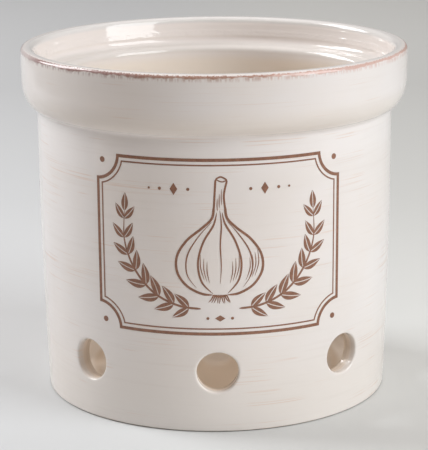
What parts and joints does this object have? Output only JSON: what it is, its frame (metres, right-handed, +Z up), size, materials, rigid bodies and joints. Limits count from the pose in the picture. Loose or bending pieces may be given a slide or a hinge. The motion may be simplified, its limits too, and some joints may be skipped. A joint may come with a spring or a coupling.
{
  "type": "garlic keeper",
  "caption": "Open cylindrical glazed ceramic crock with a rolled collar, a stepped lid gallery inside the rim and round vent holes low in the wall.",
  "frame": {"origin": "centre of the foot ring, on the surface that the crock stands on", "axes": "+Z up along the crock's axis, -Y towards the front vent and the printed side"},
  "size_m": [0.14, 0.14, 0.1264],
  "materials": {
    "cream_glaze": "gloss",
    "brown_print": "gloss"
  },
  "bodies": {
    "root": {"crock": "cream_glaze"}
  },
  "joints": []
}
